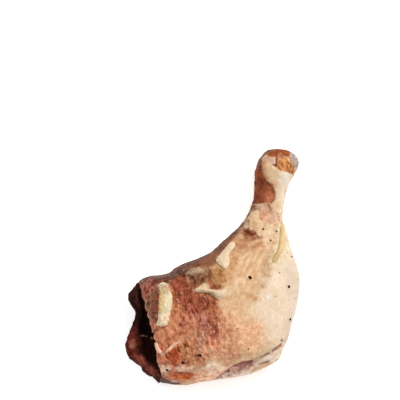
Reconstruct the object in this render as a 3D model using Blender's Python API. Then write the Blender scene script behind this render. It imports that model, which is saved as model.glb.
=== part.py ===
"""Duck leg confit: one cooked duck leg, drumstick and thigh together, lying on its flat side.

The leg is a loft. Rows of measurements run from the knuckle, down the shank, round the knee and along
the thigh to the cut at the hip. A place on the leg is (row, angle): row 0 is the knuckle's end and row
CUT the hip cut, and the angle turns about the leg from its outer edge (0) over the top (90 degrees) to
its inner edge (180). The skin is a sleeve that is open at the cut, the meat fills it and sticks out
there, and flakes of set fat lie on the skin. Lengths are millimetres until a mesh is made.
"""

import math
import random

import bpy
import numpy as np
from mathutils import Matrix, Vector, noise

MM = 0.001

# The loft's rows: inner edge (x, y), outer edge (x, y), top, and bottom before the table flattens it.
LEG_ROWS = np.array([
    (33.2, 86.3, 60.2, 85.0, 20.0, 3.5),  # knuckle's end
    (31.1, 73.5, 60.8, 73.0, 23.5, -0.4),  # knuckle, widest
    (29.7, 62.6, 53.3, 61.6, 22.0, 2.0),  # below the knuckle
    (28.9, 50.6, 48.9, 49.6, 20.5, 3.5),  # shank, narrowest
    (25.5, 39.7, 48.2, 38.1, 22.0, 3.0),  # foot of the shank
    (19.3, 29.8, 52.1, 26.3, 27.5, 0.5),  # top of the drumstick
    (7.7, 19.1, 55.9, 11.3, 34.0, -2.0),
    (-2.7, 9.6, 61.4, -6.0, 38.5, -3.5),  # drumstick and web of skin
    (-16.0, 4.0, 59.9, -21.4, 41.5, -4.0),
    (-25.2, -0.5, 56.8, -38.4, 43.5, -4.0),  # knee
    (-31.3, -4.6, 50.6, -58.7, 44.5, -4.0),
    (-37.7, -6.0, 36.8, -73.0, 45.0, -4.0),
    (-42.7, -6.4, 14.7, -78.3, 44.5, -4.0),  # thigh
    (-46.2, -6.7, -5.9, -81.2, 43.0, -4.0),
    (-48.6, -7.6, -21.7, -83.1, 40.0, -4.0),
    (-51.2, -9.4, -35.0, -81.5, 36.0, -4.0),  # hip cut
])
CUT = len(LEG_ROWS) - 1
TIP_ROWS = 1.15  # the rounded end of the knuckle
FULLNESS = 2.35  # superellipse exponent of a cross-section
WAIST = 0.42  # height of the widest line, as a share of the thickness
LEAN = 0.10  # the top is this much higher towards the outer edge

# Skin and meat
SKIN = 3.2
SKIN_AT_CUT = 1.9
THINS_FROM = 11.0  # from this row to the cut the skin thins
RIM = 0.7  # how far the skin's edge rounds out
GAP = 0.5  # between neighbouring solids
POCKET_ROW = 5.1  # how far up the drumstick the meat runs
POCKET_ROUND = 1.6
MEAT_BACK = 0.4  # the meat's rounded end stays this many rows off the skin's
LAST_EVEN_ROW = 13.0  # from here to the cut, the rows follow the ragged edge of the skin
UNDER_RETREAT = 0.75  # the skin ends this many rows earlier on the underside
EDGE_WAVES = ((3, 0.07, 0.6), (7, 0.05, 2.0))  # of its edge: waves round the leg, rows, phase
ROW_LENGTH = 8.0  # mm from one row to the next at the cut

# The meat's lip beyond the cut: reach in mm from the inner edge (-1) to the outer edge (1).
LIP_PLACES = np.array([-1.0, -0.86, -0.68, -0.45, -0.26, -0.06, 0.16, 0.34, 0.50, 0.63, 0.77, 1.0])
LIP_REACH = np.array([6.0, 8.0, 7.6, 6.0, 10.0, 17.0, 19.8, 18.6, 12.5, 10.2, 5.5, 1.5])
HOLLOW = (6.0, 4.5)  # height of the meat just inside the cut, and how much higher it is at the sides
FULL_HEIGHT = 60.0  # above the meat's top
HOLLOW_KEEPS = 0.12  # share of its rounding that the top keeps as it falls away
LIP_CREST = (10.0, 4.0)  # height of the ridge along the lip, and how much its lobes add
LIP_RIDGE = (0.2, 0.75)  # it rises between these shares of the reach
LOBES = ((-0.78, 0.22), (0.22, 0.30))  # place from the inner to the outer edge, and half width
FIBRES = (8.0, 2.2)  # size and height of the lip's uneven surface
LIP_EDGE = 1.6  # height of the lip's rim
LIP_RINGS = 9
SHRINK_AT_CUT = 0.8  # the meat's wider gap to the skin there
LIP_CLEAR = (2.2, 5.5)  # from here to here beyond the skin the lip widens and sinks to the table
LIP_FALL = (1.8, 5.0)  # from here to here beyond the skin its sides come down to the rim's height
LIP_SPREAD = 0.075
HOLLOW_ROWS = (12.7, 14.4)  # where the top of the meat falls away under the skin

AROUND = 56
OUTER_RINGS = 44
POCKET_RINGS = 17
TIP_RINGS = 6

# Lumps and dents of the skin's top: x, y, radius, height.
LUMPS = {
    "shank_gather": (37.5, 34.0, 4.5, 1.2),
    "shank_gather_left": (31.5, 39.0, 4.0, 1.0),
    "shank_gather_right": (44.0, 36.0, 4.0, 0.9),
    "patch_dent": (27.9, 20.7, 4.5, -1.0),
    "calf_ridge": (41.0, 8.0, 11.0, 1.2),
    "web_knob": (4.4, -13.0, 7.0, 2.3),
    "web_film_swell": (-10.0, -12.0, 5.5, 1.0),
    "web_dent": (-0.7, -17.0, 3.5, -1.0),
    "web_hollow": (-19.0, -13.0, 6.0, -1.3),
    "thigh_dent": (-2.7, -39.7, 11.0, -1.4),
    "thigh_swell": (20.0, -48.0, 16.0, 1.4),
    "cut_swell": (-41.0, -29.0, 7.0, 1.3),
    "low_swell": (-4.0, -72.0, 9.0, 1.2),
    "side_corner": (46.0, -61.0, 6.0, 1.8),
}
# The skin's uneven surface: size of its bumps, their height, and where in the noise they are read.
UNEVEN = ((15.0, 0.75, 0.0), (8.0, 0.4, 7.3))
UNEVEN_ROWS = (4.5, 7.0)  # it starts between these rows, below the smooth shank
TABLE_FADE = 4.0  # up to this height the relief fades out towards the table
# Set fat that coats the knuckle and the outer side of the shank: rows, and the angle that it reaches.
COAT_ROWS = np.array([0.5, 1.0, 2.0, 3.0, 4.0, 4.5])
COAT_ANGLE = np.radians([160.0, 152.0, 118.0, 66.0, 58.0, 30.0])
COAT_UNDER = math.radians(-70.0)
COAT_TOP = (0.5, 1.9)  # its upper edge, at the inner and at the outer side
COAT_HEIGHT = 1.5
COAT_EDGES = (0.22, 0.5)  # how softly its upper and under edges fall, as angles
COAT_ENDS = (0.25, 0.6)  # how softly it starts and ends, in rows
# The opening between two folds of skin at the outer side of the thigh.
SLIT_ROWS = (10.4, 12.8)
SLIT_ANGLE = np.radians([31.0, 8.0])  # at its two ends
SLIT_HALF_WIDTH = math.radians(7.5)
SLIT_DEPTH = 2.0

# The sight line that places are measured along: its height angle, and the level where the plane
# square to it crosses the leg's middle.
SIGHT = math.radians(78.0)
SIGHT_LEVEL = 20.0
# Flakes of set fat: the outline and the two ends of the ridge, both as places across and up that
# plane, then the thickness at the ridge and the share of it left at the rim.
FLAKES = {
    "fat_slab": (
        [(-35.2, -12.2), (-31.7, -12.8), (-29.7, -16.8), (-27.7, -19.7), (-27.5, -26.7),
         (-28.9, -32), (-30.3, -39.5), (-32.9, -41.8), (-38.2, -40.8), (-36.7, -36.6),
         (-37.6, -32.8), (-41.7, -32), (-42.9, -27.3), (-42.5, -21.5), (-40.5, -17.4),
         (-37.6, -14.6)],
        [(-35.2, -15.6), (-34.5, -39)],
        4, 0.35,
    ),
    "fat_chip": (
        [(15.8, 16.5), (15.8, 13.3), (12.6, 9.1), (11.9, 6.3), (12.6, 2.1), (9.5, -1.4),
         (6.7, -0.4), (2.8, 3.1), (3.2, 4.9), (6.3, 9.1), (11.9, 15.4), (14, 16.8)],
        [(13, 12.2), (8.1, 3.1)],
        2.4, 0.3,
    ),
    "fat_tail": (
        [(-13.1, -16.6), (-9.6, -14.2), (-6.1, -11.7), (-4, -13), (-3.2, -15), (0.3, -15.7),
         (5.6, -16.3), (9.7, -15), (10.8, -18), (7.9, -21.8), (4.7, -22.7), (0.9, -19.8),
         (-2, -18.4), (-7.2, -18.1)],
        [(-9.6, -15.9), (7.3, -18.8)],
        1.9, 0.35,
    ),
    "fat_film": (
        [(-18.3, -5.4), (-16.3, -2.8), (-11.9, -0.6), (-5.5, -0.2), (-2.3, -2.5), (-3.2, -6),
         (-6.7, -7.5), (-8.4, -11), (-11, -11.8), (-11.9, -8.6), (-15.1, -6.6)],
        [(-13.7, -4), (-6.7, -4.3)],
        1.5, 0.4,
    ),
    "fat_streak": (
        [(48.6, 30), (50, 28.8), (50.5, 23.8), (50.4, 20), (51.2, 17.1), (50.8, 13.6), (48.2, 9.1),
         (45.5, 4.2), (41.7, 2.4), (42.4, 5.6), (45.2, 10.5), (46.6, 16.1), (47.3, 22.4),
         (47.6, 26.6)],
        [(49.6, 27.3), (46.6, 10.5)],
        2.1, 0.3,
    ),
    "fat_patch": (
        [(26.6, 36), (30.8, 39.2), (33.3, 38.1), (32.9, 34.3), (35.4, 30.1), (36.4, 28.7),
         (34.7, 24.8), (34, 20.6), (31.5, 21.3), (29.8, 24.1), (25.9, 25.5), (26.3, 30.1),
         (25.2, 32.9)],
        [(30, 35.7), (31.9, 25.9)],
        1.7, 0.35,
    ),
}
FLAKE_AROUND = 28
FLAKE_STEPS = 4
FLAKE_CORE = 0.14  # size of a flake's innermost ring
FLAKE_SLOPE = 2.2  # how long a flake keeps its thickness from the ridge to its rim
SIGHT_STEPS = 6  # rounds of the search for the skin under a place
FLAKE_CLEAR = 3.0  # least distance from a flake's edge to a strewn grain

# Cracked pepper: x, y and radius of the grains that stand out. Small ones are strewn at random.
PEPPER = [
    (27.1, -13.1, 1.3),
    (53.4, -17.6, 1.2),
    (54.4, -39.3, 1.0),
    (-8.9, -68.0, 1.2),
    (-20.0, -71.2, 1.2),
    (-34.0, -76.5, 1.2),
    (11.9, -75.9, 1.0),
    (41.0, 15.5, 0.8),
    (46.8, 35.6, 0.7),
    (35.7, 24.4, 0.8),
    (44.8, 22.5, 0.8),
    (48.7, -54.2, 0.8),
    (34.6, -18.7, 0.6),
    (55.6, 5.1, 0.8),
    (58.0, -24.6, 0.7),
    (17.4, -1.7, 0.7),
    (-29.1, -63.6, 0.6),
]
STREWN = 9
STREWN_RADIUS = (0.5, 0.75)
STREWN_BOX = (-30.0, 50.0, -66.0, 22.0)  # least and greatest x, least and greatest y
PEPPER_APART = 5.0
SEED = 11

SKIN_COLOUR = (0.78, 0.52, 0.36)
MEAT_COLOUR = (0.30, 0.10, 0.08)
FAT_COLOUR = (0.86, 0.80, 0.60)


def through(table, where):
    """A smooth curve through the table's rows, read at the places where."""
    table = np.asarray(table, float)
    last = len(table) - 1
    where = np.asarray(where, float)
    start = np.clip(np.floor(where), 0, last - 1).astype(int)
    f = (where - start)[..., None]
    before = table[np.maximum(start - 1, 0)]
    a, b = table[start], table[start + 1]
    after = table[np.minimum(start + 2, last)]
    return 0.5 * (
        2 * a
        + (b - before) * f
        + (2 * before - 5 * a + 4 * b - after) * f**2
        + (3 * a - before - 3 * b + after) * f**3
    )


def step(x, low, high):
    """0 below low, 1 above high, and smooth between them."""
    f = np.clip((np.asarray(x, float) - low) / (high - low), 0, 1)
    return f * f * (3 - 2 * f)


def round_end(share, power=2.4):
    """How wide a blunt rounded end is, from 0 at its tip to 1 where it reaches full width."""
    share = np.clip(share, 0, 1)
    return (1 - (1 - share) ** power) ** (1 / power)


def superellipse(angle, fullness=FULLNESS):
    c, s = np.cos(angle), np.sin(angle)
    return (
        np.sign(c) * np.abs(c) ** (2 / fullness),
        np.sign(s) * np.abs(s) ** (2 / fullness),
    )


def plain_leg(row, angle):
    """The leg without its lumps, as points of shape (..., 3)."""
    row, angle = np.broadcast_arrays(np.asarray(row, float), np.asarray(angle, float))
    inner_x, inner_y, outer_x, outer_y, top, bottom = np.moveaxis(through(LEG_ROWS, row), -1, 0)
    across, up = superellipse(angle)
    end = round_end(row / TIP_ROWS)
    across, up = across * end, up * end
    waist = bottom + WAIST * (top - bottom)
    z = waist + np.where(up > 0, up * (top - waist) * (1 + LEAN * across), up * (waist - bottom))
    x = (inner_x + outer_x) / 2 + across * (outer_x - inner_x) / 2
    y = (inner_y + outer_y) / 2 + across * (outer_y - inner_y) / 2
    return np.stack([x, y, np.maximum(z, 0)], -1)


def outward(row, angle):
    """Unit normals of the plain leg."""
    d = 1e-3
    along = plain_leg(row + d, angle) - plain_leg(row - d, angle)
    around = plain_leg(row, angle + d) - plain_leg(row, angle - d)
    n = np.cross(around, along)
    return n / np.maximum(np.linalg.norm(n, axis=-1, keepdims=True), 1e-12)


def coat(row, angle):
    """Height of the set fat on the knuckle and shank."""
    turn = (angle + math.pi) % (2 * math.pi) - math.pi
    reach = np.interp(row, COAT_ROWS, COAT_ANGLE)
    across = 0.5 + 0.5 * np.cos(angle)
    upper = COAT_TOP[0] + (COAT_TOP[1] - COAT_TOP[0]) * across
    inside = step(reach - turn, 0, COAT_EDGES[0]) * step(turn - COAT_UNDER, 0, COAT_EDGES[1])
    ends = step(row - upper, 0, COAT_ENDS[0]) * step(COAT_ROWS[-1] - row, 0, COAT_ENDS[1])
    return COAT_HEIGHT * inside * ends


def slit(row, angle):
    """Depth of the opening between the two folds of skin at the side of the thigh."""
    along = (row - SLIT_ROWS[0]) / (SLIT_ROWS[1] - SLIT_ROWS[0])
    lens = np.sin(np.pi * np.clip(along, 0, 1))
    off = np.abs(angle - np.interp(row, SLIT_ROWS, SLIT_ANGLE)) / SLIT_HALF_WIDTH
    return SLIT_DEPTH * lens * (1 - step(off, 0.45, 1.0))


def waves(points, size, offset=0.0):
    """Smooth noise between about -1 and 1, whose bumps are size mm across."""
    flat = points.reshape(-1, 3) / size + offset
    return np.array([noise.noise(Vector(p)) for p in flat]).reshape(points.shape[:-1])


def relief(row, angle):
    """How far the skin stands off the plain leg: lumps, fat coat and unevenness, not the slit."""
    points, normals = plain_leg(row, angle), outward(row, angle)
    facing_up = np.clip(normals[..., 2], 0, 1)
    height = coat(row, angle)
    for x, y, radius, rise in LUMPS.values():
        away = np.hypot(points[..., 0] - x, points[..., 1] - y) / radius
        height = height + rise * np.exp(-away**2) * facing_up
    for size, rise, offset in UNEVEN:
        height = height + rise * waves(points, size, offset) * step(row, *UNEVEN_ROWS)
    return height * step(points[..., 2], 0, TABLE_FADE)


def leg(row, angle, lift=0.0):
    """Points on the skin, or lift mm off it."""
    row, angle = np.broadcast_arrays(np.asarray(row, float), np.asarray(angle, float))
    height = relief(row, angle) - slit(row, angle) + lift
    points = plain_leg(row, angle) + outward(row, angle) * height[..., None]
    points[..., 2] = np.maximum(points[..., 2], np.maximum(-lift, 0))
    return points


def ring_angles():
    return np.arange(AROUND) * (2 * math.pi / AROUND)


def ragged(row, angle):
    """Rows near the cut, moved so that the last one follows the skin's uneven edge."""
    under = np.clip(-np.sin(angle), 0, 1)
    edge = CUT - UNDER_RETREAT * under
    for count, rows, phase in EDGE_WAVES:
        edge = edge + rows * np.sin(count * angle + phase)
    share = np.clip((row - LAST_EVEN_ROW) / (CUT - LAST_EVEN_ROW), 0, None)
    return np.where(row > LAST_EVEN_ROW, LAST_EVEN_ROW + share * (edge - LAST_EVEN_ROW), row)


def skin_thickness(row):
    return SKIN + (SKIN_AT_CUT - SKIN) * step(row, THINS_FROM, CUT)


def pocket_ring(row, angle, extra, back):
    """A ring inside the skin, extra mm off its inner face, narrowed near the pocket's rounded end."""
    inset = skin_thickness(row) + extra
    depth = inset - np.minimum(relief(row, angle), 0)
    points = plain_leg(row, angle) - outward(row, angle) * depth[:, None]
    points[:, 2] = np.maximum(points[:, 2], inset)
    middle = points.mean(axis=0)
    narrow = round_end((row[0] - POCKET_ROW - back) / POCKET_ROUND)
    return middle + (points - middle) * narrow


def pocket_rows(back):
    """Rows of the pocket from its rounded end to the cut."""
    first = POCKET_ROW + back
    bend = first + POCKET_ROUND * (1 - np.cos(np.linspace(0, math.pi / 2, TIP_RINGS)))
    straight = np.linspace(POCKET_ROW + MEAT_BACK + POCKET_ROUND, CUT, POCKET_RINGS)
    return np.concatenate([bend[1:-1], straight])


def solid(name, rings, colour, roughness, start="fan", end="fan"):
    """One closed mesh through rings of points. An end is a fan or, if it is flat, a strip."""
    count = len(rings[0])
    points = [tuple(p) for ring in rings for p in ring]
    faces = []
    for i in range(len(rings) - 1):
        for j in range(count):
            k = (j + 1) % count
            faces.append((i * count + j, i * count + k, (i + 1) * count + k, (i + 1) * count + j))
    for kind, base, flip in ((start, 0, True), (end, (len(rings) - 1) * count, False)):
        if kind == "fan":
            middle = np.mean(rings[-1 if base else 0], axis=0)
            points.append(tuple(middle))
            closing = [(base + j, base + (j + 1) % count, len(points) - 1) for j in range(count)]
        else:
            closing = strip(base, count)
        faces += [f[::-1] if flip else f for f in closing]
    mesh = bpy.data.meshes.new(name)
    mesh.from_pydata([tuple(MM * c for c in p) for p in points], [], faces)
    mesh.validate()
    obj = bpy.data.objects.new(name, mesh)
    bpy.context.scene.collection.objects.link(obj)
    mesh.materials.append(material(name, colour, roughness))
    outside_out(mesh)
    mesh.shade_smooth()
    return obj


def strip(base, count):
    """Faces across a flat ring, each joining a place on its top to the one below."""
    half = count // 2
    made = [(base, base + 1, base + count - 1)]
    for j in range(1, half - 1):
        made.append((base + j, base + j + 1, base + count - j - 1, base + count - j))
    made.append((base + half - 1, base + half, base + half + 1))
    return made


def outside_out(mesh):
    """Turns the faces round if they point inwards."""
    mesh.calc_loop_triangles()
    volume = 0.0
    for t in mesh.loop_triangles:
        a, b, c = (mesh.vertices[i].co for i in t.vertices)
        volume += a.dot(b.cross(c))
    if volume < 0:
        mesh.flip_normals()


def material(name, colour, roughness):
    made = bpy.data.materials.new(name)
    made.use_nodes = True
    shader = made.node_tree.nodes["Principled BSDF"]
    shader.inputs["Base Color"].default_value = (*colour, 1.0)
    shader.inputs["Roughness"].default_value = roughness
    shader.inputs["Metallic"].default_value = 0.0
    made.diffuse_color = (*colour, 1.0)
    return made


def make_skin():
    angle = ring_angles()
    tip = TIP_ROWS * (1 - np.cos(np.linspace(0, math.pi / 2, TIP_RINGS + 1)))[1:]
    rows = np.concatenate([tip, np.linspace(TIP_ROWS, CUT, OUTER_RINGS)[1:]])
    outside = [leg(ragged(np.full(AROUND, r), angle), angle) for r in rows]
    inside = []
    for r in pocket_rows(0.0)[::-1]:
        inside.append(pocket_ring(ragged(np.full(AROUND, r), angle), angle, 0.0, 0.0))
    middle = (outside[-1] + inside[0]) / 2 + cut_direction() * RIM
    return solid("skin", [*outside, middle, *inside], SKIN_COLOUR, 0.45)


def cut_direction():
    """The way out of the cut, level."""
    inner, outer = LEG_ROWS[-1, 0:2], LEG_ROWS[-1, 2:4]
    along = (outer - inner) / np.linalg.norm(outer - inner)
    return np.array([along[1], -along[0], 0.0])


def lowered(points, row, across):
    """The meat's top falls away under the skin near the cut, which leaves a dark hollow."""
    fall = step(row, *HOLLOW_ROWS)
    low = HOLLOW[0] + HOLLOW[1] * across**4
    ceiling = FULL_HEIGHT + (low - FULL_HEIGHT) * fall
    over = np.maximum(points[:, 2] - ceiling, 0)
    points[:, 2] += over * (HOLLOW_KEEPS * (1 - fall) - 1)
    return points


def make_meat():
    angle = ring_angles()
    across, up = superellipse(angle)
    rings = []
    for r in pocket_rows(MEAT_BACK):
        row = ragged(np.full(AROUND, r), angle)
        off_skin = GAP + SHRINK_AT_CUT * step(row, *HOLLOW_ROWS)
        rings.append(lowered(pocket_ring(row, angle, off_skin, MEAT_BACK), row, across))
    base = rings[-1]
    middle = base.mean(axis=0)
    wall = wall_direction(angle)
    reach = np.interp(across, LIP_PLACES, LIP_REACH) + ragged_gap(angle)
    for share in np.sin(np.linspace(0, math.pi / 2, LIP_RINGS + 1))[1:]:
        out = reach * share
        clear = step(out, *LIP_CLEAR)
        points = base.copy()
        points[:, 1] = middle[1] + (base[:, 1] - middle[1]) * (1 + LIP_SPREAD * clear)
        points += wall * np.minimum(out, LIP_CLEAR[0])[:, None]
        points += cut_direction() * np.maximum(out - LIP_CLEAR[0], 0)[:, None]
        crest = LIP_CREST[0] + LIP_CREST[1] * lobes(across) + FIBRES[1] * waves(points, FIBRES[0])
        crest = HOLLOW[0] + (crest - HOLLOW[0]) * step(share, *LIP_RIDGE)
        crest = LIP_EDGE + (crest - LIP_EDGE) * np.sqrt(1 - share**4)
        high = crest * np.abs(up) ** 0.5
        floor = base[:, 2].min() * (1 - clear)
        level = np.where(up > 0, np.maximum(high, LIP_EDGE), floor)
        points[:, 2] = base[:, 2] + (level - base[:, 2]) * step(out, *LIP_FALL)
        rings.append(points)
    return solid("meat", rings, MEAT_COLOUR, 0.5, end="strip")


def wall_direction(angle):
    """The way that the skin's inner face runs where it ends, level."""
    row = ragged(np.full(AROUND, float(CUT)), angle)
    along = pocket_ring(row, angle, GAP, MEAT_BACK) - pocket_ring(row - 0.2, angle, GAP, MEAT_BACK)
    along[:, 2] = 0
    along /= np.linalg.norm(along, axis=1, keepdims=True)
    square_on = along @ cut_direction()
    return np.where(square_on[:, None] > 0.7, along, cut_direction())


def ragged_gap(angle):
    """How far the skin's edge is behind the cut, which the lip makes up for."""
    row = ragged(np.full(AROUND, float(CUT)), angle)
    return (CUT - row) * ROW_LENGTH


def lobes(across):
    """The two lobes of meat at the cut, as heights up to 1."""
    return sum(np.exp(-(((across - place) / half) ** 2)) for place, half in LOBES)


def seen(points):
    """Places across and up the plane square to the sight line."""
    up = points[..., 1] * math.sin(SIGHT) + (points[..., 2] - SIGHT_LEVEL) * math.cos(SIGHT)
    return np.stack([points[..., 0], up], -1)


def top_grid():
    """Rows and angles over the upper side of the skin."""
    rows, angles = np.meshgrid(np.arange(4.0, 14.6, 0.1), np.radians(np.arange(0, 171, 2.0)))
    return rows.ravel(), angles.ravel()


def skin_under(places):
    """The rows and angles of the skin at these seen places."""
    rows, angles = top_grid()
    grid = seen(leg(rows, angles))
    nearest = [np.argmin(np.hypot(*(grid - place).T)) for place in places]
    row, angle = rows[nearest], angles[nearest]
    d = 1e-3
    for _ in range(SIGHT_STEPS):
        here = seen(leg(row, angle))
        per_row = (seen(leg(row + d, angle)) - here) / d
        per_angle = (seen(leg(row, angle + d)) - here) / d
        both = np.stack([per_row, per_angle], -1)
        change = np.linalg.solve(both, (places - here)[..., None])[..., 0]
        row, angle = row + change[:, 0], angle + change[:, 1]
    return row, angle


def make_flake(name, outline, ridge, thickness, rim):
    """A flake of fat that follows the skin's curve, GAP off it, thickest along its ridge."""
    corners = np.array(outline)
    closed = np.concatenate([corners[-1:], corners, corners[:2]])
    edge = through(closed, 1 + np.arange(FLAKE_AROUND) * (len(corners) / FLAKE_AROUND))
    start, end = np.array(ridge)
    along = (edge - start) @ (end - start) / ((end - start) @ (end - start))
    edge, along = np.roll(edge, -np.argmin(along), axis=0), np.roll(along, -np.argmin(along))
    middle = start + np.clip(along, 0, 1)[:, None] * (end - start)

    def ring(share, lift):
        return leg(*skin_under(middle + (edge - middle) * share), lift)

    shares = np.linspace(FLAKE_CORE, 1, FLAKE_STEPS)
    under = [ring(share, GAP) for share in shares]
    over = []
    for share in shares:
        over.append(ring(share, GAP + thickness * (rim + (1 - rim) * (1 - share**FLAKE_SLOPE))))
    return solid(name, [*under, *over[::-1]], FAT_COLOUR, 0.35, start="strip", end="strip")


def clear_of(point, flake):
    """Whether a grain at this point stays off the flake."""
    away = np.hypot(*(np.array(flake[0]) - seen(point)).T)
    return away.min() > FLAKE_CLEAR


def pepper_grains():
    """Centre and radius of each grain, on the top of the skin and clear of the flakes of fat."""
    top = leg(*top_grid())
    draw = random.Random(SEED)
    wanted = list(PEPPER)
    while len(wanted) < len(PEPPER) + STREWN:
        x, y = draw.uniform(*STREWN_BOX[:2]), draw.uniform(*STREWN_BOX[2:])
        point = top[np.argmin(np.hypot(top[:, 0] - x, top[:, 1] - y))]
        near = min(math.hypot(x - other[0], y - other[1]) for other in wanted)
        on_leg = math.hypot(point[0] - x, point[1] - y) < 1.0
        off_flakes = all(clear_of(point, flake) for flake in FLAKES.values())
        if near > PEPPER_APART and on_leg and off_flakes:
            wanted.append((x, y, draw.uniform(*STREWN_RADIUS)))
    return [(top[np.argmin(np.hypot(top[:, 0] - x, top[:, 1] - y))], r) for x, y, r in wanted]


def add_pepper(skin):
    """Joins the grains of pepper to the skin with one union."""
    grains = bpy.data.collections.new("grains")
    bpy.context.scene.collection.children.link(grains)
    for i, (point, radius) in enumerate(pepper_grains()):
        bpy.ops.mesh.primitive_ico_sphere_add(
            subdivisions=1, radius=radius * MM, location=point * MM, rotation=(i, 2 * i, 0)
        )
        grain = bpy.context.object
        for owner in grain.users_collection:
            owner.objects.unlink(grain)
        grains.objects.link(grain)
    union = skin.modifiers.new("pepper", "BOOLEAN")
    union.operation = "UNION"
    union.operand_type = "COLLECTION"
    union.collection = grains
    union.solver = "EXACT"
    bpy.context.view_layer.objects.active = skin
    bpy.ops.object.modifier_apply(modifier=union.name)
    for grain in list(grains.objects):
        bpy.data.objects.remove(grain)
    bpy.data.collections.remove(grains)


def centre(objects):
    """Moves the meshes so that the origin is the middle of the whole leg's underside."""
    everything = np.array([v.co for obj in objects for v in obj.data.vertices])
    low, high = everything.min(axis=0), everything.max(axis=0)
    shift = Vector([(low[0] + high[0]) / 2, (low[1] + high[1]) / 2, low[2]])
    for obj in objects:
        obj.data.transform(Matrix.Translation(-shift))


def main():
    for obj in list(bpy.data.objects):
        bpy.data.objects.remove(obj)
    made = [make_skin(), make_meat()]
    add_pepper(made[0])
    for name, facts in FLAKES.items():
        made.append(make_flake(name, *facts))
    centre(made)


main()
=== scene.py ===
"""Duck leg confit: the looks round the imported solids.

The sizes here are millimetres unless a line says metres. A "seen" place is millimetres across and up the
plane that the camera faces, which passes through the middle of the leg 20 mm above the floor. Colours are
linear.
"""

import math

import bmesh
import bpy
import numpy as np
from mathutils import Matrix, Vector, noise
from mathutils.bvhtree import BVHTree


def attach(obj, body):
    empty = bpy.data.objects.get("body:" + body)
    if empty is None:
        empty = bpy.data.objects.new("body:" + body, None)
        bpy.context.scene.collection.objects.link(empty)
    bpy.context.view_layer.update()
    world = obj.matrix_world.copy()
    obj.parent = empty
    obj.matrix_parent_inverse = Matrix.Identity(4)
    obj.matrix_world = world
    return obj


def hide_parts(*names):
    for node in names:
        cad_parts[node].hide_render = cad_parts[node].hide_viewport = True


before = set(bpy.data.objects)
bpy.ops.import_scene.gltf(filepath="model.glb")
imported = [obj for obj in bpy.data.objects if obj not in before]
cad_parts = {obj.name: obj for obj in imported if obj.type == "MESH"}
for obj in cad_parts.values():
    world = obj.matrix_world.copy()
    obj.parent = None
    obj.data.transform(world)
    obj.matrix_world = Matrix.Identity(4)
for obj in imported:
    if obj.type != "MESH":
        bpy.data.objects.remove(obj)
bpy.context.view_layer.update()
RANDOM = np.random.default_rng(7)

# The camera looks down at the leg from the near side.
ELEVATION = math.radians(78)
MIDDLE = np.array((-8.8, 46.0, 20.0))
PICTURE_WIDTH = 280.0
LENS, SENSOR = 600.0, 36.0
TOWARDS_CAMERA = np.array((0.0, -math.cos(ELEVATION), math.sin(ELEVATION)))

# A soft sky brightest overhead, a lamp at the upper right of the picture, and a floor that shines a little,
# so that the ground stays as white as in a bright studio.
SKY = (0.55, 0.95)
LAMP_PLACE, LAMP_WIDTH, LAMP_WATTS = (400.0, 350.0, 600.0), 260.0, 6.0
FLOOR_COLOUR, FLOOR_SHINE = (0.90, 0.90, 0.90), 0.45
WHITE = (1.0, 1.0, 1.0, 1.0)

# How far red, green and blue light spread under the surface, as shares of the scale, which is in metres.
SOFT_REACH, SOFT_SCALE = (1.0, 0.45, 0.25), 0.0015

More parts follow.
